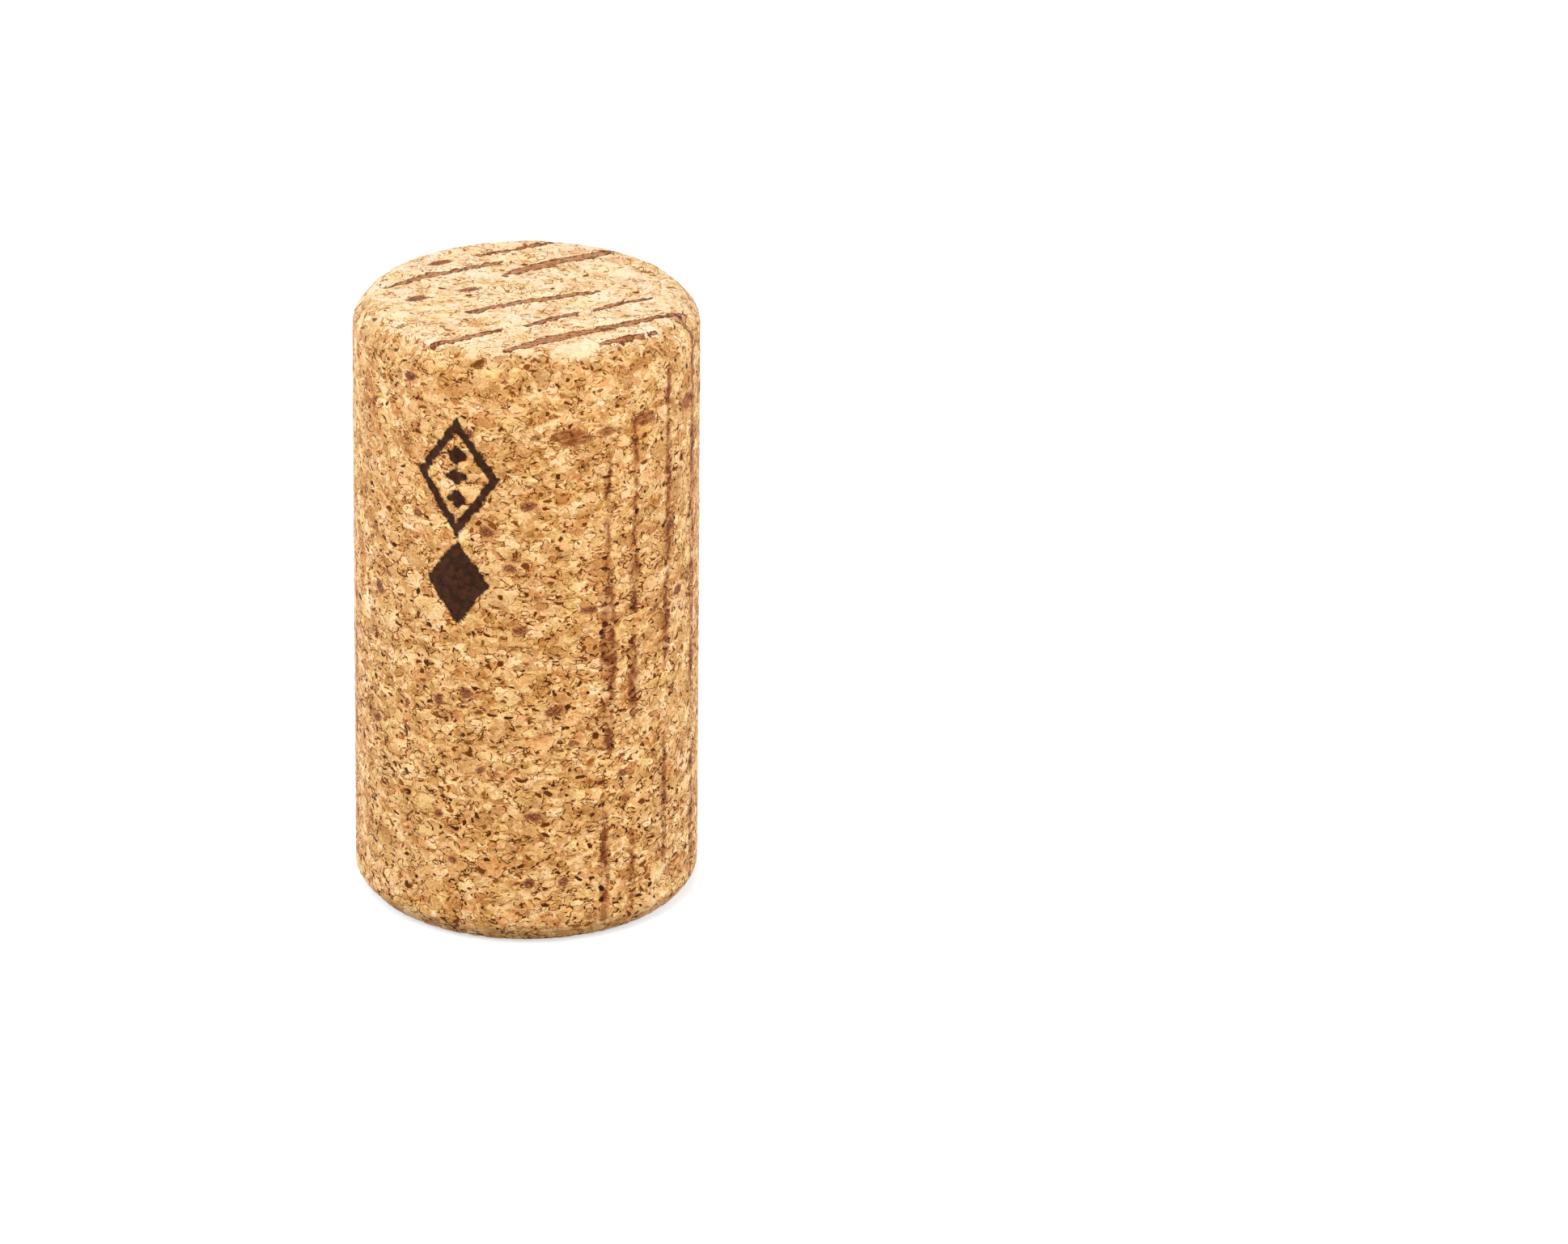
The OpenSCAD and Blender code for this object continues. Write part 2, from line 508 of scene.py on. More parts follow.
def stripes_gap(at):
    """Distance outside the printed stripes on the barrel, which thin to half width at their ends."""
    gap = at.far
    for azimuth, (start, stop), width in STRIPES:
        line = [(0, start, width * 0.5), (0, (start + stop) / 2, width), (0, stop, width * 0.5)]
        gap = np.minimum(gap, along_strokes(at.round_from(azimuth), at.z, line))
    return gap


def dashes_gap(at):
    """Distance outside the printed dashes on the barrel, which thin and tilt outside their middle
    third."""
    gap = at.far
    for (start, stop), height, width in DASHES:
        half = math.radians(stop - start) / 2 * RADIUS
        line = [
            (-half, 0.1, width * 0.3),
            (-half / 3, 0, width),
            (half / 3, 0, width),
            (half, -0.1, width * 0.4),
        ]
        gap = np.minimum(gap, along_strokes(at.round_from((start + stop) / 2), at.z - height, line))
    return gap


def stamp_gap(at):
    """Distance outside the printed ornament."""
    u = at.round_from(STAMP_AZIMUTH)
    v = at.z - LOZENGE_Z
    gap = np.abs(lozenge(u, v, LOZENGE_W - LINE_W, LOZENGE_H - LINE_W)) - LINE_W / 2
    for step in (-1, 0, 1):
        gap = np.minimum(gap, lozenge(u, v - SMALL_STEP * step, SMALL_W, SMALL_H))
    gap = np.minimum(gap, lozenge(u, at.z - SOLID_Z, SOLID_W, SOLID_H))
    return np.where(np.abs(at.azimuth - STAMP_AZIMUTH) < STAMP_SPREAD, gap, FAR)


def ovals_gap(at, on_barrel, on_head):
    """Distance outside small ovals on the barrel and on the head."""
    gap = at.far
    for azimuth, height, long, wide, tilt in on_barrel:
        gap = np.minimum(gap, oval(at.round_from(azimuth), at.z - height, long, wide, tilt))
    for x, y, long, wide, tilt in on_head:
        gap = np.minimum(gap, np.where(at.is_head, oval(at.x - x, at.y - y, long, wide, tilt), FAR))
    return gap


def pores_gap(points):
    """Distance outside the dark middle of every pore."""
    gap = np.full(len(points), FAR)
    for place, _, share in pores():
        gap = np.minimum(gap, np.linalg.norm(points - place, axis=1) - PORE_R * share * DARK_MIDDLE)
    return gap


def mark_gaps(points):
    """Distance of every point outside each kind of mark, by the name that the material reads."""
    at = Surface(points)
    return {
        "strokes": strokes_gap(at),
        "stripes": stripes_gap(at),
        "dashes": dashes_gap(at),
        "stamp": stamp_gap(at),
        "bark": ovals_gap(at, BARK_BITS, HEAD_BITS),
        "speck": np.minimum(ovals_gap(at, BARREL_SPECKS, HEAD_SPECKS), pores_gap(points)),
        "pale": ovals_gap(at, [], HEAD_PALE),
    }


# ---------------------------------------------------------------- writing node trees as formulas
class Nodes:
    """Adds nodes to a tree. Every call returns the new node's output, so calls nest as in a formula,
    and a number, a tuple or another call's output may be given for any input."""

    def __init__(self, tree):
        self.tree = tree

    def put(self, kind, inputs, output=0, **settings):
        node = self.tree.nodes.new(kind)
        for name, value in settings.items():
            setattr(node, name, value)
        for key, value in inputs.items():
            if isinstance(value, bpy.types.NodeSocket):
                self.tree.links.new(value, node.inputs[key])
            else:
                node.inputs[key].default_value = value
        return node.outputs[output] if node.outputs else None

    def math(self, operation, a, b=0.0):
        return self.put("ShaderNodeMath", {0: a, 1: b}, operation=operation)

    def add(self, a, b):
        return self.math("ADD", a, b)

    def sub(self, a, b):
        return self.math("SUBTRACT", a, b)

    def mul(self, a, b):
        return self.math("MULTIPLY", a, b)

    def high(self, a, b):
        return self.math("MAXIMUM", a, b)

    def above(self, value, start, full):
        """0 where value is at start, 1 where it is at full, smooth between; start may be the larger."""
        return self.put(
            "ShaderNodeMapRange",
            {"Value": value, "From Min": start, "From Max": full, "To Min": 0.0, "To Max": 1.0},
            interpolation_type="SMOOTHSTEP",
        )

    def vector(self, operation, a, b=(0, 0, 0)):
        return self.put("ShaderNodeVectorMath", {0: a, 1: b}, operation=operation)

    def times(self, vector, factor):
        """vector times a number, or stretched along X, Y and Z by three."""
        if isinstance(factor, tuple):
            return self.vector("MULTIPLY", vector, factor)
        return self.put("ShaderNodeVectorMath", {0: vector, "Scale": factor}, operation="SCALE")

    def length(self, vector):
        return self.put("ShaderNodeVectorMath", {0: vector}, output="Value", operation="LENGTH")

    def turned(self, vector, axis, angle):
        return self.put(
            "ShaderNodeVectorRotate",
            {"Vector": vector, "Axis": axis, "Angle": angle},
            rotation_type="AXIS_ANGLE",
        )

    def noise(self, vector, scale, detail=0.0, colour=False):
        """Noise between about 0.2 and 0.8, or three of them as a colour."""
        return self.put(
            "ShaderNodeTexNoise",
            {"Vector": vector, "Scale": scale, "Detail": detail},
            output="Color" if colour else 0,
        )

    def cells(self, vector, scale=1.0):
        """Random cells, scale to a unit: three random numbers of each as a colour, and its middle."""
        node = self.tree.nodes.new("ShaderNodeTexVoronoi")
        self.tree.links.new(vector, node.inputs["Vector"])
        node.inputs["Scale"].default_value = scale
        return node.outputs["Color"], node.outputs["Position"]

    def parts(self, vector):
        node = self.tree.nodes.new("ShaderNodeSeparateXYZ")
        self.tree.links.new(vector, node.inputs[0])
        return node.outputs

    def mix(self, factor, a, b):
        """Number a where factor is 0, b where it is 1."""
        return self.put("ShaderNodeMix", {0: factor, 2: a, 3: b})

    def blend(self, factor, a, b, how="MIX"):
        """Colour a where factor is 0, b where it is 1."""
        return self.put(
            "ShaderNodeMix", {0: factor, 6: a, 7: b}, output=2, data_type="RGBA", blend_type=how
        )

    def tinted(self, factor, colour, tint):
        """colour, multiplied by tint where factor is 1."""
        return self.blend(factor, colour, tint, "MULTIPLY")

    def ramp(self, value, stops):
        """Colour of a scale of (position, colour) stops."""
        node = self.tree.nodes.new("ShaderNodeValToRGB")
        scale = node.color_ramp
        while len(scale.elements) > 1:
            scale.elements.remove(scale.elements[-1])
        scale.elements[0].position = stops[0][0]
        scale.elements[0].color = stops[0][1]
        for position, colour in stops[1:]:
            scale.elements.new(position).color = colour
        self.tree.links.new(value, node.inputs[0])
        return node.outputs[0]

    def stored(self, name):
        """The number that every point of the mesh keeps under a name."""
        return self.put("ShaderNodeAttribute", {}, output="Fac", attribute_name=name)


def srgb(red, green, blue):
    """A colour given as 0 to 255 on the screen, in Blender's linear numbers."""

    def linear(value):
        value /= 255
        return value / 12.92 if value <= 0.04045 else ((value + 0.055) / 1.055) ** 2.4

    return (linear(red), linear(green), linear(blue), 1.0)


# ---------------------------------------------------------------- cork: colours and sizes
# Colours of cork from burnt bark to the palest granule, by lightness: 0 is black and 100 white.
TONES = [
    (12, srgb(50, 20, 0)),
    (24, srgb(96, 44, 2)),
    (34, srgb(124, 66, 14)),
    (46, srgb(156, 94, 38)),
    (55, srgb(177, 120, 61)),
    (62, srgb(195, 139, 82)),
    (70, srgb(214, 161, 101)),
    (77, srgb(229, 181, 121)),
    (83, srgb(237, 195, 140)),
    (88, srgb(241, 206, 156)),
    (94, srgb(243, 214, 172)),
]
# The same for the ends, paler and closer in colour: partly the cut ends' own colour, and partly painted
# light, standing in for the brighter light and whitish sheen on the lit head face.
PAINTED_LIGHT_END_TONES = [
    (10, srgb(60, 34, 14)),
    (35, srgb(134, 82, 32)),
    (50, srgb(182, 123, 66)),
    (62, srgb(210, 163, 108)),
    (70, srgb(221, 193, 152)),
    (80, srgb(225, 206, 175)),
    (95, srgb(230, 220, 198)),
]
MEAN_TONE = 71.2
# Painted shade on the head's bevel: its lightness tends to a low one, and it is a little more even and
# cooler.
BEVEL_SHADE_TONE, BEVEL_SHADE_SHARE = 47.0, 0.15
BEVEL_SHADE_TINT = (0.9, 0.96, 1.02, 1)
# What a granule's hue, from 0 to 1, multiplies its colour by: reddish ones first, greenish ones last.
TINTS = [
    (0.0, (1.0, 0.87, 0.76, 1)),
    (0.25, (0.99, 0.96, 0.94, 1)),
    (0.5, (0.99, 1.0, 1.01, 1)),
    (0.75, (0.975, 1.018, 0.985, 1)),
    (1.0, (0.96, 1.022, 1.0, 1)),
]
MILKY, GOLDEN = (1.0, 1.0, 1.1, 1), (1.0, 1.0, 0.84, 1)
PALE_FLAKE = srgb(233, 213, 173)
# Bits of bark, by the grit in them.
BARK_TONES = [
    (0.4, srgb(78, 34, 18)),
    (0.5, srgb(118, 60, 36)),
    (0.6, srgb(158, 96, 58)),
]

MANY_TURNS = 37.0  # radians over which a random number spreads the turn of a flake or bit
# The ground of small granules: how many to a millimetre, and how much their lightness varies.
GROUND_SCALE, GROUND_VARY = 2.4, 11.5
# Scatters of flakes from the bottom one up: size in mm, share of the cells that hold a flake, how
# much thinner than long they are, how much their lightness varies, and a seed.
SCATTERS = [
    (0.85, 0.9, 1.7, 11.0, 3.0),
    (1.5, 0.8, 1.8, 12.0, 11.0),
    (2.5, 0.5, 1.6, 10.0, 23.0),
]
GRAIN, GRAIN_VARY = (1.2, 9.0, 2.5), 10.0  # streaks along a flake
# Partly painted light: besides a flake's own change of tone, the slope stands in for the light and shade
# its relief would catch, in a random direction for each flake.
FLAKE_TONE_AND_SHADE_SLOPE = 12.0  # change of lightness from a flake's middle to its end
SEAM = (0.075, 0.015)  # from a flake's edge, where its dark seam starts and where it is full
GROOVE = (0.2, 0.04)  # the same for the groove in the relief
GROOVE_SHARE = 0.6  # depth of a groove, as a share of a granule's height
# Scattered bits: the spacing of their cells, the share of the cells that hold one, their least and
# greatest radius, a seed, and how much thinner than long they are.
FLECKS = (1.4, 0.6, 0.12, 0.4, 31.0, 2.0)
BROWN_BITS = (2.2, 0.5, 0.2, 0.6, 5.0, 1.4)
BARK = (2.9, 0.5, 0.1, 0.45, 17.0, 1.7)
SPECKS = (0.8, 0.75, 0.1, 0.33, 9.0, 2.3)
SPECK_TONE, DEEP_TONE = -28.0, -60.0  # of scattered specks, the palest and the darkest
END_SPECK_TONE = -26.0
PLACED_SPECK_TONE = -48.0
# Broken dark threads: their scale, half width, how far apart they break, and how much of them is left.
THREADS = (1.5, 0.035, 0.9, 0.08)
FINE_THREADS = (2.6, 0.03, 1.5, 0.08)
# How dark seams are: high up the barrel, low down it, where their extra darkness is painted shade, and
# on an end.
SEAM_TONE, SHADED_LOW_SEAM_TONE, END_SEAM_TONE = 46.0, 56.0, 34.0
# Heights between which painted shade darkens the barrel's seams and enlarges its specks towards the
# floor.
SHADE_LOW_FROM, SHADE_LOW_FULL = 32.0, 18.0  # heights between which the barrel gets its darker seams and specks

# What a thin coat of print does to the colour under it, two browns of a full coat, and the
# ornament's ink, thick and thin.
STAIN = (0.57, 0.4, 0.31, 1)
PRINT_FILL = srgb(176, 108, 60)
PRINT_EDGE = srgb(88, 40, 12)
STAMP_INK = srgb(34, 10, 2)
STAMP_THIN = srgb(60, 27, 12)


# ---------------------------------------------------------------- cork: its granules, as nodes
def spread(n, value, amount):
    """A number between 0 and 1 as one between -amount and amount."""
    return n.mul(n.sub(value, 0.5), 2 * amount)


def warped(n, place, scale, reach):
    """place, pushed about by up to reach millimetres in swirls of 1 / scale millimetres."""
    push = n.vector("SUBTRACT", n.noise(place, scale, colour=True), (0.5, 0.5, 0.5))
    return n.vector("ADD", place, n.times(push, 2 * reach))


class Ground:
    """The places by which granules are laid, from smooth to ragged, and the grit in them."""

    def __init__(self, n, place):
        self.flat = n.times(place, (1.0, 1.0, 1.35))
        self.soft = warped(n, self.flat, 1.1, 0.3)
        self.rough = warped(n, self.soft, 4.0, 0.08)
        self.grit = n.noise(self.rough, 6.5, 2.0)
        # Painted shade: 1 low down the barrel, where seams darken and specks grow.
        self.low = n.above(n.parts(place)[2], SHADE_LOW_FROM, SHADE_LOW_FULL)

    def mask(self, n, inside, ragged, start, full):
        """1 where inside is above full, 0 where it is below start, by an edge that grit moves by up
        to ragged."""
        return n.above(n.add(inside, spread(n, self.grit, ragged)), start, full)


def own_axes(n, spot):
    """The cell that spot lies in: its three random numbers, and spot seen from the cell's middle
    along axes turned the cell's own way."""
    colour, middle = n.cells(spot)
    luck = n.parts(colour)
    axis = n.vector("SUBTRACT", colour, (0.5, 0.5, 0.5))
    return luck, n.turned(n.vector("SUBTRACT", spot, middle), axis, n.mul(luck[1], MANY_TURNS))


def flakes(n, place, size, share, thin, seed):
    """Loose flakes about size across, each turned its own way, in a share of the cells. Gives how
    far in millimetres a point lies inside a flake, two random numbers of that flake, and the
    point in the flake's own turned axes."""
    spot = n.times(n.vector("ADD", place, (seed, seed * 1.7, seed * 0.6)), 1 / size)
    luck, local = own_axes(n, spot)
    radius = n.put(
        "ShaderNodeMapRange",
        {"Value": luck[2], "From Min": 1.0 - share, "From Max": 1.0, "To Min": 0.35, "To Max": 0.62},
        clamp=False,
    )
    reach = n.length(n.times(local, (1.0, thin, 1.0 + (thin - 1.0) / 2)))
    present = n.math("GREATER_THAN", luck[2], 1.0 - share)
    inside = n.sub(n.mul(n.sub(radius, reach), size), n.mul(n.sub(1.0, present), FAR))
    return inside, luck[0], luck[1], n.times(local, size)


def bits(n, place, spacing, share, least, most, seed, thin):
    """Small scattered bits, one in a share of cells spacing across: how far in millimetres a point
    lies inside one, with radii from least to most, and a random number of that bit."""
    spot = n.times(n.vector("ADD", place, (seed, seed, seed)), 1 / spacing)
    luck, local = own_axes(n, spot)
    radius = n.put(
        "ShaderNodeMapRange",
        {"Value": luck[2], "From Min": 1 - share, "From Max": 1.0, "To Min": least, "To Max": most},
    )
    reach = n.mul(n.length(n.times(local, (1.0, thin, 1.0))), spacing)
    present = n.math("GREATER_THAN", luck[2], 1.0 - share)
    return n.sub(n.sub(radius, reach), n.mul(n.sub(1.0, present), FAR)), luck[0]


def threads(n, place, scale, width, breaks, share):
    """Thin wandering dark lines, broken up: 1 on a line, 0 elsewhere."""
    wander = n.math("ABSOLUTE", n.sub(n.noise(place, scale, 1.0), 0.5))
    whole = n.noise(n.vector("ADD", place, (7.0, 3.0, 5.0)), breaks)
    return n.mul(n.above(wander, width, width * 0.3), n.above(whole, 0.62 - share, 0.7 - share))


def laid_flakes(n, ground):
    """Small granules with the scatters of flakes laid over them: their lightness above the mean,
    their hue, their height and the dark seams round them."""
    luck = n.parts(n.cells(ground.rough, GROUND_SCALE)[0])
    tone = spread(n, luck[0], GROUND_VARY)
    hue = luck[1]
    height = n.mul(luck[2], 0.5)
    seam = 0.0
    groove = 0.0
    for size, share, thin, vary, seed in SCATTERS:
        inside, shade, lift, local = flakes(n, ground.rough, size, share, thin, seed)
        inside = n.add(inside, n.mul(n.sub(ground.grit, 0.5), 0.12))
        grain = n.noise(n.times(local, GRAIN), 1.0, 1.0)
        # Painted light and shade across each flake, in its own random direction, together with its own
        # change of tone.
        slope = n.mul(n.parts(local)[0], FLAKE_TONE_AND_SHADE_SLOPE / size)
        shade = n.add(n.add(spread(n, shade, vary), spread(n, grain, GRAIN_VARY)), slope)
        mask = n.above(inside, 0.0, 0.03)
        tone = n.mix(mask, tone, shade)
        hue = n.mix(mask, hue, lift)
        from_edge = n.math("ABSOLUTE", inside)
        patchy = n.above(n.noise(n.vector("ADD", ground.flat, (seed, 0, seed)), 2.8), 0.45, 0.56)
        seam = n.high(n.mul(seam, n.sub(1.0, mask)), n.mul(n.above(from_edge, *SEAM), patchy))
        groove = n.high(n.mul(groove, n.sub(1.0, mask)), n.above(from_edge, *GROOVE))
        height = n.mix(n.above(inside, -0.1, 0.12), height, n.add(0.2, n.mul(lift, 0.8)))
    return tone, hue, n.sub(height, n.mul(groove, GROOVE_SHARE)), seam


def all_seams(n, ground, seam):
    """The flakes' seams, with two scatters of threads over them."""
    drawn = n.times(ground.soft, (1.0, 1.0, 1.2))
    seam = n.high(seam, threads(n, drawn, *THREADS))
    return n.high(seam, n.mul(threads(n, ground.rough, *FINE_THREADS), 0.5))


def varied_tone(n, ground, tone, seam, calm):
    """tone, varied from patch to patch and by the grit, with flecks and seams drawn on it."""
    grit = ground.grit
    tone = n.add(tone, spread(n, n.noise(ground.soft, 0.6), 16.0))
    tone = n.mul(tone, n.mix(calm, 1.0, 0.55))
    tone = n.add(tone, n.mul(spread(n, grit, 22.0), n.mix(calm, 1.0, 0.8)))
    fleck = ground.mask(n, bits(n, ground.rough, *FLECKS)[0], 0.15, -0.03, 0.06)
    tone = n.sub(tone, n.mul(n.mul(fleck, calm), n.add(14.0, spread(n, grit, 20.0))))
    # Painted shade: seams are darker low down the barrel.
    darkness = n.mix(calm, n.mix(ground.low, SEAM_TONE, SHADED_LOW_SEAM_TONE), END_SEAM_TONE)
    return n.sub(tone, n.mul(all_seams(n, ground, seam), darkness))


def with_specks(n, ground, tone, speck_at, calm):
    """tone with dark specks in it: scattered ones, and those with a place of their own."""
    inside, shade = bits(n, ground.rough, *SPECKS)
    # Painted shade: specks are larger low down the barrel.
    speck = ground.mask(n, n.add(inside, n.mul(ground.low, 0.03)), 0.1, -0.03, 0.03)
    deep = n.mix(calm, n.mix(shade, DEEP_TONE, SPECK_TONE), END_SPECK_TONE)
    tone = n.mix(speck, tone, deep)
    return n.mix(ground.mask(n, n.mul(speck_at, -1.0), 0.1, -0.03, 0.03), tone, PLACED_SPECK_TONE)


def granules(n, place, bark_at=FAR, speck_at=FAR, calm=0.0):
    """Lightness, hue and height of the glued granules at place, in millimetres, their share of
    bark, and the ragged grit that every mark's edge follows. bark_at and speck_at are the distances
    outside the bits of bark and the specks that have a place of their own. Where calm is 1 the
    granules are more alike."""
    ground = Ground(n, place)
    tone, hue, height, seam = laid_flakes(n, ground)
    tone = varied_tone(n, ground, tone, seam, calm)
    brown = ground.mask(n, bits(n, ground.rough, *BROWN_BITS)[0], 0.3, -0.05, 0.08)
    tone = n.sub(tone, n.mul(brown, n.add(10.0, spread(n, ground.grit, 30.0))))
    hue = n.mix(brown, hue, 0.05)
    bark = n.sub(bits(n, ground.rough, *BARK)[0], n.mul(calm, 0.4))
    bark = ground.mask(n, n.high(bark, n.mul(bark_at, -1.0)), 0.3, -0.02, 0.05)
    tone = n.add(with_specks(n, ground, tone, speck_at, calm), MEAN_TONE)
    return tone, hue, height, bark, ground.grit


# ---------------------------------------------------------------- cork: its material
def printed(n, colour, gap, lumps, fill, edge):
    """colour with translucent brown print where gap is negative, darker where lumps are and along its
    outline. fill and edge say how strong the two are."""
    inside = n.above(gap, 0.04, -0.06)
    outline = n.above(n.math("ABSOLUTE", n.add(gap, 0.07)), 0.13, 0.04)
    coat = n.blend(0.35, PRINT_FILL, n.tinted(1.0, colour, STAIN))
    coat = n.blend(n.mul(lumps, 0.8), coat, PRINT_EDGE)
    colour = n.blend(n.mul(inside, fill), colour, coat)
    return n.blend(n.mul(outline, edge), colour, PRINT_EDGE)


def stained(n, colour, gap, strength):
    """colour under a soft-edged thin brown coat where gap is negative."""
    return n.tinted(n.mul(n.above(gap, 0.1, -0.18), strength), colour, STAIN)


def bare_colour(n, place):
    """Colour of the granules before anything is printed on them, with their hue and grit."""
    end = n.stored("end")
    bevel = n.stored("bevel")
    tone, hue, _, bark, grit = granules(n, place, n.stored("bark"), n.stored("speck"), end)
    # Painted shade: the head's bevel is darkened towards a low lightness.
    tone = n.mul(n.mix(n.mul(bevel, BEVEL_SHADE_SHARE), tone, BEVEL_SHADE_TONE), 0.01)
    on_side = n.ramp(tone, [(light / 100, colour) for light, colour in TONES])
    on_end = n.ramp(tone, [(light / 100, colour) for light, colour in PAINTED_LIGHT_END_TONES])
    # Partly painted light: the ends take the paler, more even ramp, which stands in for the brighter
    # light on the head.
    colour = n.blend(end, on_side, on_end)
    colour = n.tinted(n.sub(1.0, n.mul(end, 0.5)), colour, n.ramp(hue, TINTS))
    golden = n.mix(0.5, n.math("FRACT", n.mul(hue, 7.0)), n.above(n.noise(place, 0.9, 1.0), 0.35, 0.65))
    colour = n.tinted(1.0, colour, n.blend(golden, MILKY, GOLDEN))
    # Painted shade: the head's bevel is tinted cooler.
    colour = n.tinted(bevel, colour, BEVEL_SHADE_TINT)
    pale = n.above(n.add(n.stored("pale"), spread(n, grit, 0.4)), 0.1, -0.2)
    colour = n.blend(n.mul(pale, 0.6), colour, PALE_FLAKE)
    return n.blend(n.mul(bark, 0.95), colour, n.ramp(grit, BARK_TONES)), hue, grit


def with_strokes(n, colour, place, ragged, lumps):
    """colour with the strokes on the ends: full coats with a dark, broken outline."""
    patchy = n.above(n.noise(place, 1.6, 1.0), 0.25, 0.5)
    return printed(n, colour, n.add(n.stored("strokes"), ragged), lumps, 0.92, n.mul(patchy, 0.9))


def with_dashes(n, colour, place, ragged, lumps):
    """colour with the dashes round the barrel: half a coat, and a stain in fibres over it."""
    gap = n.add(n.stored("dashes"), n.mul(ragged, 0.7))
    fibres = n.noise(n.times(place, (0.6, 0.6, 2.2)), 2.6, 2.0)
    colour = printed(n, colour, gap, n.mul(lumps, 0.8), 0.6, 0.0)
    return stained(n, colour, n.add(gap, 0.05), n.mix(n.above(fibres, 0.42, 0.54), 0.4, 1.0))


def with_stripes(n, colour, place, ragged, hue):
    """colour with the stripes up the barrel: two stains, drawn out along it and taken up better by
    some granules than by others."""
    gap = n.add(n.stored("stripes"), ragged)
    drawn = n.noise(n.times(place, (1.0, 1.0, 0.5)), 1.3, 2.0)
    taken = n.above(n.math("FRACT", n.mul(hue, 5.0)), 0.3, 0.45)
    wide = n.mul(n.mix(n.above(drawn, 0.35, 0.55), 0.45, 1.0), n.mix(taken, 0.7, 1.0))
    narrow = n.mul(n.above(drawn, 0.4, 0.54), n.mix(taken, 0.45, 1.0))
    colour = stained(n, colour, n.sub(gap, 0.1), wide)
    return stained(n, colour, n.add(gap, 0.05), narrow)


def with_stamp(n, colour, place, ragged):
    """colour with the ornament, in ink that is thinner in patches."""
    ink = n.above(n.add(n.stored("stamp"), n.mul(ragged, 0.7)), 0.08, -0.1)
    shade = n.blend(n.above(n.noise(place, 2.2, 2.0), 0.62, 0.4), STAMP_THIN, STAMP_INK)
    return n.blend(n.mul(ink, 0.98), colour, shade)


def cork_material():
    """Granulated cork, sanded and faintly waxed, with its print."""
    material = bpy.data.materials.new("cork_granules")
    material.use_nodes = True
    tree = material.node_tree
    tree.nodes.clear()
    n = Nodes(tree)
    place = n.times(n.put("ShaderNodeTexCoord", {}, output="Object"), 1 / MM)
    colour, hue, grit = bare_colour(n, place)
    ragged = n.add(spread(n, n.noise(place, 2.2, 1.0), 0.35), spread(n, grit, 0.12))
    lumps = n.above(n.noise(n.times(place, (0.6, 1.0, 1.0)), 5.5, 3.0), 0.5, 0.6)
    colour = with_strokes(n, colour, place, ragged, lumps)
    colour = with_dashes(n, colour, place, ragged, lumps)
    colour = with_stripes(n, colour, place, ragged, hue)
    colour = with_stamp(n, colour, place, ragged)
    bump = n.put(
        "ShaderNodeBump",
        {"Strength": 0.5, "Distance": 0.05 * MM, "Height": n.noise(place, 5.0, 2.0)},
    )
    shader = n.put(
        "ShaderNodeBsdfPrincipled",
        {
            "Base Color": colour,
            "Roughness": 0.75,
            "Normal": bump,
            "Specular IOR Level": 0.12,
            "Sheen Weight": 0.12,
            "Sheen Roughness": 0.15,
        },
    )
    n.put("ShaderNodeOutputMaterial", {"Surface": shader})
    return material


# ---------------------------------------------------------------- the cork
RELIEF = 0.07  # how far a granule one unit lower is sunk
LOWEST, HIGHEST = -0.5, 0.7  # limits of the granules' heights, the upper one flush with the CAD surface
SPECK_DEPTH = 0.1
SPECK_SLOPE = 0.1  # width of the slope down into a speck
MARK_RANGE = 1.0  # distances from a mark's edge are kept up to here, on either side


def granule_heights(piece):
    """Height of the granules at every point of piece, worked out by a modifier that is taken off
    again."""
    group = bpy.data.node_groups.new("granule_heights", "GeometryNodeTree")
    for way in ("INPUT", "OUTPUT"):
        group.interface.new_socket("Geometry", in_out=way, socket_type="NodeSocketGeometry")
    n = Nodes(group)
    given = n.put("NodeGroupInput", {})
    place = n.times(n.put("GeometryNodeInputPosition", {}), 1 / MM)
    _, _, height, _, _ = granules(n, place)
    kept = n.put(
        "GeometryNodeStoreNamedAttribute",
        {"Geometry": given, "Name": "height", "Value": height},
        data_type="FLOAT",
        domain="POINT",
    )
    n.put("NodeGroupOutput", {0: kept})
    modifier = piece.modifiers.new("heights", "NODES")
    modifier.node_group = group
    worked = piece.evaluated_get(bpy.context.evaluated_depsgraph_get())
    heights = np.zeros(len(worked.data.vertices))
    worked.data.attributes["height"].data.foreach_get("value", heights)
    piece.modifiers.remove(modifier)
    bpy.data.node_groups.remove(group)
    return heights


def end_and_painted_light_shares(normals):
    """How much each point has an end's pale, even look, which is partly the cut ends' own colour and
    partly painted light: fully on the flat faces, a little on the head's bevel, where it is painted
    light from above, and on the foot's only next to its face."""
    up = normals[:, 2]
    return np.clip(np.where(up > 0, (up - 0.6) / 0.36, (-up - 0.8) / 0.18), 0, 1)


def bevel_shade_shares(normals):
    """How much each point belongs to the head's bevel, on which shade is painted."""
    up = normals[:, 2]
    return np.clip(np.minimum(up / 0.4, (1 - up) / 0.15), 0, 1)


def depths(points, normals, heights, speck_gap):
    """How far each point sinks for the relief of the granules, the specks and the pores."""
    sunk = RELIEF * (HIGHEST - np.clip(heights, LOWEST, HIGHEST))
    sunk = sunk + SPECK_DEPTH * np.clip(-speck_gap / SPECK_SLOPE, 0, 1)
    return np.maximum(sunk, pore_depths(points, normals))


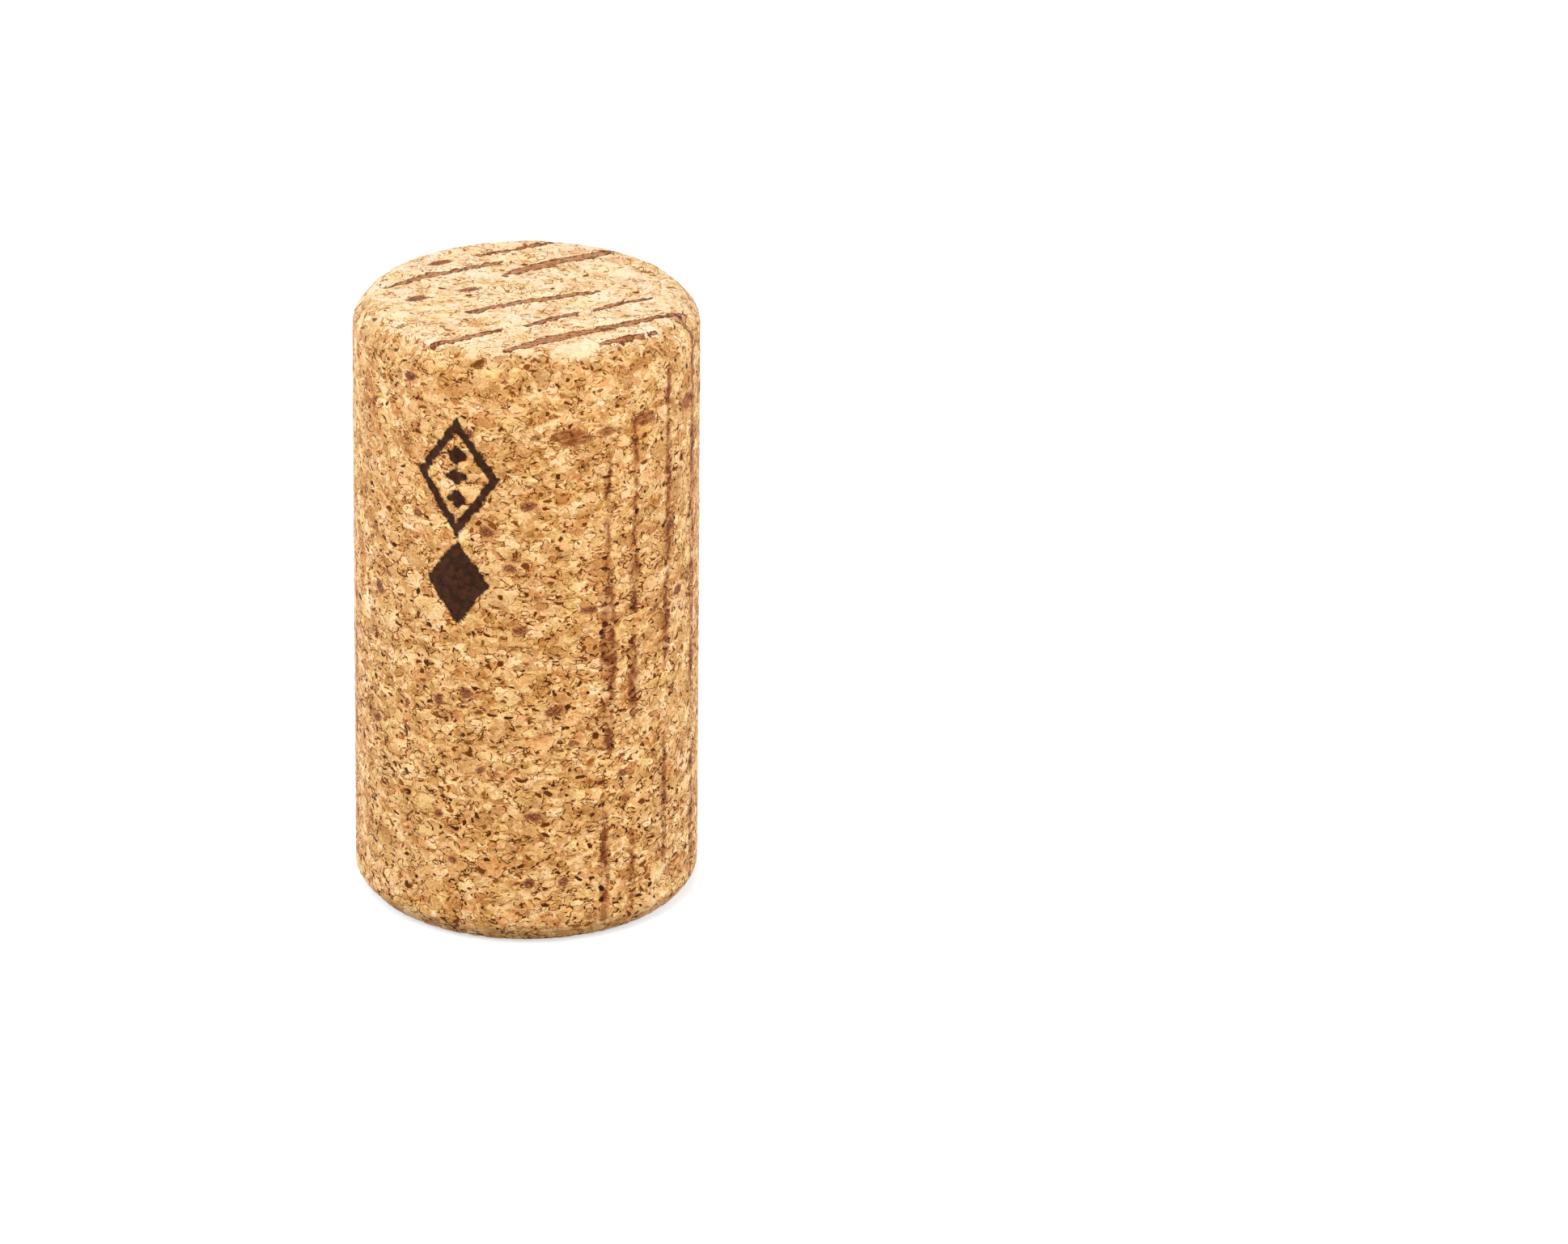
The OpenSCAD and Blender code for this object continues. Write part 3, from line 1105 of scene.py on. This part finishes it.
def make_cork():
    points, normals, quads, sheet = cork_surface()
    mesh = bpy.data.meshes.new("cork_body")
    mesh.from_pydata((points * MM).tolist(), [], quads.tolist())
    mesh.uv_layers.new(name="OFBake").data.foreach_set("uv", sheet.ravel())
    piece = bpy.data.objects.new("cork_body", mesh)
    bpy.context.scene.collection.objects.link(piece)
    gaps = mark_gaps(points)
    numbers = {name: np.clip(gap, -MARK_RANGE, MARK_RANGE) for name, gap in gaps.items()}
    # The end share is partly painted light on the head face and its bevel.
    numbers["end"] = end_and_painted_light_shares(normals)
    # The bevel share is where shade is painted on the head's bevel.
    numbers["bevel"] = bevel_shade_shares(normals)
    for name, values in numbers.items():
        mesh.attributes.new(name, "FLOAT", "POINT").data.foreach_set("value", values)
    sunk = depths(points, normals, granule_heights(piece), gaps["speck"])
    mesh.vertices.foreach_set("co", ((points - normals * sunk[:, None]) * MM).ravel())
    mesh.shade_smooth()
    mesh.materials.append(cork_material())
    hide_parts("cork")
    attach(piece, "root")


make_cork()

# ---------------------------------------------------------------- camera
LENS = 264.7
SENSOR = 36.0
CAMERA_PITCH = 23.14
CAMERA_ROLL = 0.52
CAMERA_DISTANCE = 801.5
# The cork stands to the left of the picture's middle, and a little above it.
BESIDE = 17.9
BELOW = 2.26
CLIP_START, CLIP_END = 10, 20000


def make_camera():
    pitch, roll = math.radians(CAMERA_PITCH), math.radians(CAMERA_ROLL)
    forward = Vector((0, math.cos(pitch), -math.sin(pitch)))
    level, upright = Vector((1, 0, 0)), Vector((0, math.sin(pitch), math.cos(pitch)))
    right = math.cos(roll) * level + math.sin(roll) * upright
    up = math.cos(roll) * upright - math.sin(roll) * level
    middle = Vector((0, 0, LENGTH / 2))
    spot = middle + BESIDE * right - BELOW * up - CAMERA_DISTANCE * forward
    data = bpy.data.cameras.new("camera")
    data.lens = LENS
    data.sensor_width = SENSOR
    data.clip_start, data.clip_end = CLIP_START * MM, CLIP_END * MM
    camera = bpy.data.objects.new("camera", data)
    axes = Matrix((right, up, -forward)).transposed().to_4x4()
    camera.matrix_world = Matrix.Translation(spot * MM) @ axes
    bpy.context.scene.collection.objects.link(camera)
    bpy.context.scene.camera = camera


make_camera()

# ---------------------------------------------------------------- floor, backdrop and light
FLOOR_SIZE = 4.0
FLOOR_LIT = 0.32  # what light on the cork meets on the floor
FLOOR_SEEN, FLOOR_GLOW = 0.55, 0.57  # what is seen of it, white where no shadow falls
WORLD_LIT, WORLD_SEEN = 0.36, 1.0
FRONT_LIGHT = (1, 1, 1)
SIDE_LIGHT = (0.9, 1.02, 1.25)  # cooler than the light from the front
# Square lamps: name, place, size, power and colour.
LAMPS = [
    ("front", (-0.05, -0.3, 0.4), 0.25, 2.1, FRONT_LIGHT),
    ("front_right", (0.6, -0.9, 0.22), 0.6, 4.2, FRONT_LIGHT),
    ("left", (-1.15, 0.25, 0.25), 0.8, 14.0, SIDE_LIGHT),
    ("right", (1.15, 0.25, 0.2), 0.8, 11.0, SIDE_LIGHT),
    ("back_left", (-0.8, 1.0, 0.15), 0.5, 7.5, SIDE_LIGHT),
    ("back_right", (0.8, 1.0, 0.15), 0.5, 6.5, SIDE_LIGHT),
]


def seen_directly(n):
    """1 for what the camera sees, directly or in gloss and glass, 0 for light that falls on the part."""
    path = n.tree.nodes.new("ShaderNodeLightPath")
    return n.high(
        path.outputs["Is Camera Ray"],
        n.high(path.outputs["Is Glossy Ray"], path.outputs["Is Transmission Ray"]),
    )


def floor_material():
    """Pale floor that reads as white and keeps the soft shadow under the cork."""
    material = bpy.data.materials.new("studio_floor")
    material.use_nodes = True
    material.node_tree.nodes.clear()
    n = Nodes(material.node_tree)
    plain = n.put("ShaderNodeBsdfDiffuse", {"Color": (FLOOR_LIT, FLOOR_LIT, FLOOR_LIT, 1)})
    shaded = n.put("ShaderNodeBsdfDiffuse", {"Color": (FLOOR_SEEN, FLOOR_SEEN, FLOOR_SEEN, 1)})
    glow = n.put("ShaderNodeEmission", {"Color": (1, 1, 1, 1), "Strength": FLOOR_GLOW})
    white = n.put("ShaderNodeAddShader", {0: shaded, 1: glow})
    surface = n.put("ShaderNodeMixShader", {0: seen_directly(n), 1: plain, 2: white})
    n.put("ShaderNodeOutputMaterial", {"Surface": surface})
    return material


def make_floor():
    mesh = bpy.data.meshes.new("floor")
    half = FLOOR_SIZE / 2
    corners = [(-half, -half, 0), (half, -half, 0), (half, half, 0), (-half, half, 0)]
    mesh.from_pydata(corners, [], [(0, 1, 2, 3)])
    mesh.materials.append(floor_material())
    floor = bpy.data.objects.new("floor", mesh)
    bpy.context.scene.collection.objects.link(floor)


def make_world():
    world = bpy.data.worlds.new("studio")
    world.use_nodes = True
    world.node_tree.nodes.clear()
    n = Nodes(world.node_tree)
    strength = n.mix(seen_directly(n), WORLD_LIT, WORLD_SEEN)
    glow = n.put("ShaderNodeBackground", {"Color": (1, 1, 1, 1), "Strength": strength})
    n.put("ShaderNodeOutputWorld", {"Surface": glow})
    bpy.context.scene.world = world


def make_lamp(name, spot, size, power, colour):
    """A square lamp that faces the cork's middle and isn't seen by the camera."""
    data = bpy.data.lights.new(name, "AREA")
    data.size = size
    data.energy = power
    data.color = colour
    lamp = bpy.data.objects.new(name, data)
    lamp.location = spot
    lamp.visible_camera = False
    aim = Vector((0, 0, LENGTH / 2 * MM)) - Vector(spot)
    lamp.rotation_mode = "QUATERNION"
    lamp.rotation_quaternion = aim.to_track_quat("-Z", "Y")
    bpy.context.scene.collection.objects.link(lamp)


make_floor()
make_world()
for lamp in LAMPS:
    make_lamp(*lamp)
bpy.context.scene.view_settings.view_transform = "Standard"
